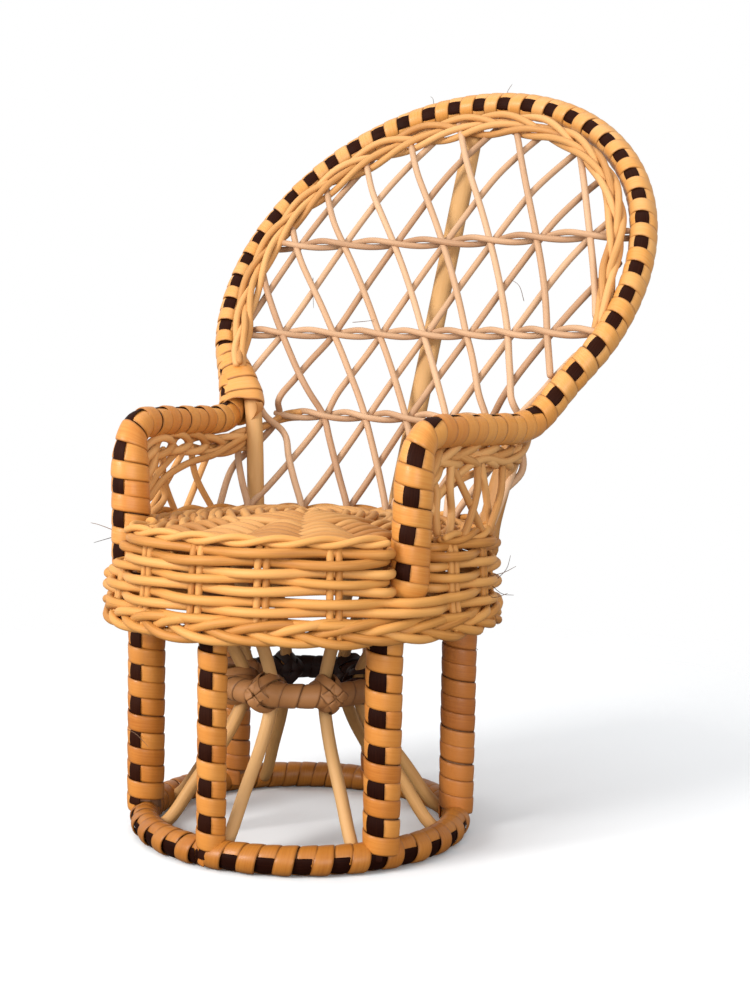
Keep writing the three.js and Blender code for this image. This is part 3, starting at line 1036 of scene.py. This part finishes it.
# Rear stakes: the side, the angle on the rim, how far behind the hoop the head stands, how much wider
# than thick, and how far inside the rod the stake is at each height beside the elbow.
for name, degrees, side, back, flatness, gaps in (
        ("left", -131, -1, 0, 1.2, ((158, 10.4), (168, 6.4), (178, 3))),
        ("right", 123, 1, 6, 1.4, ((155, 6.5), (161, 5)))):
    stake = [around(69.5, degrees, 104), around(69.5, degrees, 116)]
    for height, gap in gaps:
        point, along, inward = beside_elbow(side, height)
        stake.append(point + (inward * gap - hoop_front * back) * MM)
    single_reed(f"stake_{name}_cane", f"stake_{name}", smooth_line(stake, 6), 2.95, rod_cane,
                sides=8, widen=flatness)

# A strip binds the head of the left stake to the hoop and tapers the bundle up into it. On its outer
# side it sinks into the rod's own winding, so that the dark strip goes on showing.
work = blank()
rows, shades = [], []
elbow_turns = 5
elbow_steps = 20
elbow_foot = 156
elbow_rise = 26
for i in range(elbow_turns * elbow_steps + 1):
    angle = 2 * math.pi * i / elbow_steps
    inner = max(math.cos(angle), 0)
    row = []
    for across in (1, 0.5, -0.5, -1):
        share = min(max(i / elbow_steps + across * 0.53, 0), elbow_turns) / elbow_turns
        point, along, inward = beside_elbow(-1, elbow_foot + elbow_rise * share)
        bulge = 5 * (1 - share ** 1.3)
        lift = 0.2 - 0.12 * across
        reach = bulge + (4.9 + bulge + inner + lift) * math.cos(angle)
        droop = along * 5 * (1 - share) * min(0.65 + 0.65 * math.cos(angle), 1)
        row.append(point + MM * (inward * reach - along.cross(inward) * (6.2 + lift) * math.sin(angle)
                                 + droop))
    rows.append(row)
    shades.append(0.3 + 0.4 * chance.random() if i % elbow_steps == 0 else shades[-1])
lay_strip(work, rows, shades)
make_piece(work, "elbow_binding", honey_cane, (), 0.6)

# ---------------------------------------------------------------- side panels

for name, side in (("left", -1), ("right", 1)):
    panel = blank()
    outward = Vector((side, 0, 0))
    border_line = smooth_line([spot(side * x, y, z) for x, y, z in (
        (60.4, -21, 134), (61.2, -13, 142), (63.2, 4, 144.6), (64.8, 20, 144), (65.6, 38, 143),
        (61, 57, 147))], 2.4)
    braid(panel, border_line, lambda i: UP, lambda i: outward,
          strands=4, width=lambda share: 3.5, depth=2.0, size=1.62, wave=1.6)
    # Two strands of the lowest twined row run on past the stake, and two stand beside the post.
    for stops in (
            [(49, 76.6, 157), (57, 75, 156), (58, 63, 151.5), (61.5, 46, 145), (62.5, 30, 139.5),
             (61.5, 10, 136.5), (60.2, -8, 131), (59.5, -19, 123)],
            [(49, 76, 154.6), (57, 76, 154), (63.5, 61, 149.5), (67.6, 46, 144.5), (67.8, 30, 141.5),
             (66.2, 14, 143), (63.6, 0, 138), (61.8, -12, 131), (61.5, -18, 124)],
            [(60.2, -19.5, 141), (62.2, -14.5, 133), (62.6, -15.5, 124), (63, -14, 116)],
            [(63.5, -6, 143), (64.4, -8.5, 133), (62.6, -3, 124), (65.5, -11, 116)]):
        lay_reed(panel, smooth_line([spot(side * x, y, z) for x, y, z in stops], 3), 1.45)
    # Four crossing reeds: the angles of foot and head round the seat, and how far the reed bows back.
    for low_degrees, high_degrees, bow in (
            (84, 101, 2.5), (100, 86, -2), (103, 118, 2), (116, 104, -2.5)):
        foot = around(69.6, side * low_degrees, 115)
        head_back = around(66.5, side * high_degrees, 0).y
        head = min(border_line, key=lambda point: abs(point.y - head_back))
        bend = foot.lerp(head, 0.55) + Vector((side * 1.4, bow, 0)) * MM
        lay_reed(panel, smooth_line([foot, bend, head], 4), 1.4)
    make_piece(panel, f"side_panel_{name}_reeds", braid_reed, (f"side_panel_{name}",))

# ---------------------------------------------------------------- loose fibres

# Each starts at a point and runs that far right, back and up, in millimetres.
fibres = blank()
for start, way in (
        (around(72, 100, 101), (9, 3, 4)), (around(72, 103, 97), (8, 2, -3)),
        (around(72, 98, 95), (9, -2, 1)), (around(72, 101, 92), (3, 1, -9)),
        (around(73, 106, 99), (4, 3, 9)), (spot(-66, -30, 112), (-8, -5, 3)),
        (spot(-66, -29, 110), (-9, -3, -3)), (around(66, -62, 60), (12, -6, 4)),
        (around(66, -58, 38), (14, -5, -4)), (around(66, 118, 70), (-10, -4, 6)),
        (lattice(2.6, -2.5, -2), (3, -4, -14)), (lattice(2.1, -1.6, -2), (13, -3, 1)),
        (lattice(2.3, 2.2, -2), (-5, -3, 9)), (on_hoop(6, 1.05), (1, 0, 6)),
        (on_hoop(-16, 1.05), (-2, 0, 6))):
    way = Vector(way) * MM
    bow = Vector([chance.uniform(-2, 2) for _ in range(3)]) * MM
    line = smooth_line([start, start + way * 0.5 + bow, start + way], 1.2)
    lay_reed(fibres, line, 0.2, sides=4, taper=0.5)
make_piece(fibres, "loose_fibres", loose_fibre)

# ---------------------------------------------------------------- rods under the bindings


def bare_rod(name):
    """The rod that shows between the turns of a binding."""
    material = bpy.data.materials.new(name)
    material.use_nodes = True
    nodes, links = material.node_tree.nodes, material.node_tree.links
    nodes.clear()
    tint = nodes.new("NodeFrame")
    tint.label = "Shaded rod"
    place = nodes.new("ShaderNodeTexCoord")
    place.label = "Place on the chair"
    place.location = (-800, 0)
    place.parent = tint
    patches = nodes.new("ShaderNodeTexNoise")
    patches.label = "Blotches"
    patches.location = (-600, 0)
    patches.inputs["Scale"].default_value = 180
    patches.parent = tint
    colours = nodes.new("ShaderNodeValToRGB")
    colours.label = "Dull brown"
    colours.location = (-400, 0)
    colours.color_ramp.elements[0].color = (0.12, 0.05, 0.02, 1)
    colours.color_ramp.elements[1].color = (0.3, 0.14, 0.06, 1)
    colours.parent = tint
    surface_node = nodes.new("ShaderNodeBsdfPrincipled")
    surface_node.label = "Rod"
    surface_node.location = (-100, 0)
    surface_node.inputs["Roughness"].default_value = 0.6
    shown = nodes.new("ShaderNodeOutputMaterial")
    shown.label = "Shown"
    shown.location = (200, 0)
    links.new(place.outputs["Object"], patches.inputs["Vector"])
    links.new(patches.outputs["Fac"], colours.inputs["Fac"])
    links.new(colours.outputs["Color"], surface_node.inputs["Base Color"])
    links.new(surface_node.outputs["BSDF"], shown.inputs["Surface"])
    return material


shaded_rod = bare_rod("shaded_rod")
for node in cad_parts.values():
    if not node.hide_render:
        node.data.materials.clear()
        node.data.materials.append(shaded_rod)

# ---------------------------------------------------------------- stage, light and camera

scene = bpy.context.scene


def fading_floor():
    """A pale floor that fades away from the chair, so that no horizon shows."""
    material = bpy.data.materials.new("pale_floor")
    material.use_nodes = True
    nodes, links = material.node_tree.nodes, material.node_tree.links
    nodes.clear()
    fading = nodes.new("NodeFrame")
    fading.label = "Fading away from the chair"
    place = nodes.new("ShaderNodeTexCoord")
    place.label = "Place on the floor"
    place.location = (-800, 0)
    place.parent = fading
    far = nodes.new("ShaderNodeVectorMath")
    far.label = "Distance"
    far.operation = "LENGTH"
    far.location = (-600, 0)
    far.parent = fading
    fade = nodes.new("ShaderNodeMapRange")
    fade.label = "Fade out"
    fade.location = (-400, 0)
    fade.interpolation_type = "SMOOTHSTEP"
    fade.inputs["From Min"].default_value = 0.16
    fade.inputs["From Max"].default_value = 0.5
    fade.parent = fading

    sheet = nodes.new("NodeFrame")
    sheet.label = "Matt paper"
    matt = nodes.new("ShaderNodeBsdfDiffuse")
    matt.label = "Pale paper"
    matt.location = (-400, -250)
    matt.parent = sheet
    seen = nodes.new("ShaderNodeLightPath")
    seen.label = "Looked at or lighting"
    seen.location = (-800, -250)
    seen.parent = sheet
    paper = nodes.new("ShaderNodeMix")
    paper.label = "Dim as light from below"
    paper.data_type = "RGBA"
    paper.location = (-600, -250)
    paper.inputs["A"].default_value = (0.2, 0.2, 0.2, 1)
    paper.inputs["B"].default_value = (0.9, 0.91, 0.92, 1)
    paper.parent = sheet

    clear = nodes.new("ShaderNodeBsdfTransparent")
    clear.label = "Nothing"
    clear.location = (-400, -400)
    mix = nodes.new("ShaderNodeMixShader")
    mix.label = "Paper or nothing"
    mix.location = (-150, -100)
    shown = nodes.new("ShaderNodeOutputMaterial")
    shown.label = "Shown"
    shown.location = (60, -100)
    links.new(place.outputs["Object"], far.inputs[0])
    links.new(seen.outputs["Is Camera Ray"], paper.inputs["Factor"])
    links.new(paper.outputs["Result"], matt.inputs["Color"])
    links.new(far.outputs["Value"], fade.inputs["Value"])
    links.new(fade.outputs["Result"], mix.inputs["Fac"])
    links.new(matt.outputs["BSDF"], mix.inputs[1])
    links.new(clear.outputs["BSDF"], mix.inputs[2])
    links.new(mix.outputs["Shader"], shown.inputs["Surface"])
    return material


floor_mesh = bpy.data.meshes.new("floor")
floor_mesh.from_pydata([(-1, -1, 0), (1, -1, 0), (1, 1, 0), (-1, 1, 0)], [], [(0, 1, 2, 3)])
floor_mesh.materials.append(fading_floor())
floor = bpy.data.objects.new("floor", floor_mesh)
scene.collection.objects.link(floor)


def studio_world():
    """White to look at; as light it is stronger from above and the left."""
    world = bpy.data.worlds.new("studio")
    world.use_nodes = True
    nodes, links = world.node_tree.nodes, world.node_tree.links
    nodes.clear()
    uneven = nodes.new("NodeFrame")
    uneven.label = "Brighter from above and the left"
    way = nodes.new("ShaderNodeTexCoord")
    way.label = "Direction"
    way.location = (-900, 0)
    way.parent = uneven
    lean = nodes.new("ShaderNodeVectorMath")
    lean.label = "Towards the bright side"
    lean.operation = "DOT_PRODUCT"
    lean.location = (-700, 0)
    lean.inputs[1].default_value = (-0.66, -0.35, 0.66)
    lean.parent = uneven
    strength = nodes.new("ShaderNodeMapRange")
    strength.label = "Dim to bright"
    strength.location = (-500, 0)
    strength.inputs["From Min"].default_value = -0.9
    strength.inputs["From Max"].default_value = 0.9
    strength.inputs["To Min"].default_value = 0.36
    strength.inputs["To Max"].default_value = 0.98
    strength.parent = uneven
    soft = nodes.new("ShaderNodeBackground")
    soft.label = "Soft light"
    soft.location = (-280, 0)
    soft.inputs["Color"].default_value = (0.97, 0.985, 1, 1)
    soft.parent = uneven

    backdrop = nodes.new("NodeFrame")
    backdrop.label = "What is looked at"
    white = nodes.new("ShaderNodeBackground")
    white.label = "White backdrop"
    white.location = (-280, -160)
    white.inputs["Color"].default_value = (1, 1, 1, 1)
    white.parent = backdrop
    seen = nodes.new("ShaderNodeLightPath")
    seen.label = "Looked at or lighting"
    seen.location = (-280, 320)
    mix = nodes.new("ShaderNodeMixShader")
    mix.label = "Backdrop or light"
    mix.location = (-60, 0)
    shown = nodes.new("ShaderNodeOutputWorld")
    shown.label = "World"
    shown.location = (140, 0)
    links.new(way.outputs["Generated"], lean.inputs[0])
    links.new(lean.outputs["Value"], strength.inputs["Value"])
    links.new(strength.outputs["Result"], soft.inputs["Strength"])
    links.new(seen.outputs["Is Camera Ray"], mix.inputs["Fac"])
    links.new(soft.outputs["Background"], mix.inputs[1])
    links.new(white.outputs["Background"], mix.inputs[2])
    links.new(mix.outputs["Shader"], shown.inputs["Surface"])
    return world


scene.world = studio_world()


def soft_light(name, place, aim, size, power, colour):
    light = bpy.data.lights.new(name, "AREA")
    light.size = size
    light.energy = power
    light.color = colour
    lamp = bpy.data.objects.new(name, light)
    scene.collection.objects.link(lamp)
    lamp.location = place
    lamp.rotation_euler = (aim - place).to_track_quat("-Z", "Y").to_euler()


chair_middle = (cad_low + cad_high) / 2
soft_light("key", Vector((-0.35, -0.95, 0.52)), chair_middle, 0.4, 11.5, (1, 0.99, 0.97))
soft_light("overhead", Vector((-0.1, 0, 1.1)), chair_middle, 0.8, 2.2, (1, 1, 1))
soft_light("fill", Vector((0.9, -0.8, 0.3)), chair_middle, 0.7, 8, (1, 0.99, 0.98))

# The camera stands to the right of the front, a little above the aim, and leans very slightly.
azimuth, height_angle, roll = math.radians(29.1), math.radians(4.22), math.radians(1.04)
camera_distance = 570.9
aim_side, aim_height = 26.07, 125.97
backward = Vector((math.sin(azimuth) * math.cos(height_angle),
                   -math.cos(azimuth) * math.cos(height_angle), math.sin(height_angle)))
level = Vector((math.cos(azimuth), math.sin(azimuth), 0))
upward = backward.cross(level)
tilted_level = level * math.cos(roll) + upward * math.sin(roll)
tilted_upward = upward * math.cos(roll) - level * math.sin(roll)
aim = spot(aim_side * math.cos(azimuth), aim_side * math.sin(azimuth), aim_height)
lens = bpy.data.cameras.new("camera")
lens.lens = 54.8
lens.clip_start = 0.02
camera = bpy.data.objects.new("camera", lens)
scene.collection.objects.link(camera)
camera.matrix_world = Matrix.Translation(aim + backward * camera_distance * MM) @ Matrix(
    (tilted_level, tilted_upward, backward)).transposed().to_4x4()
scene.camera = camera
scene.view_settings.view_transform = "Standard"
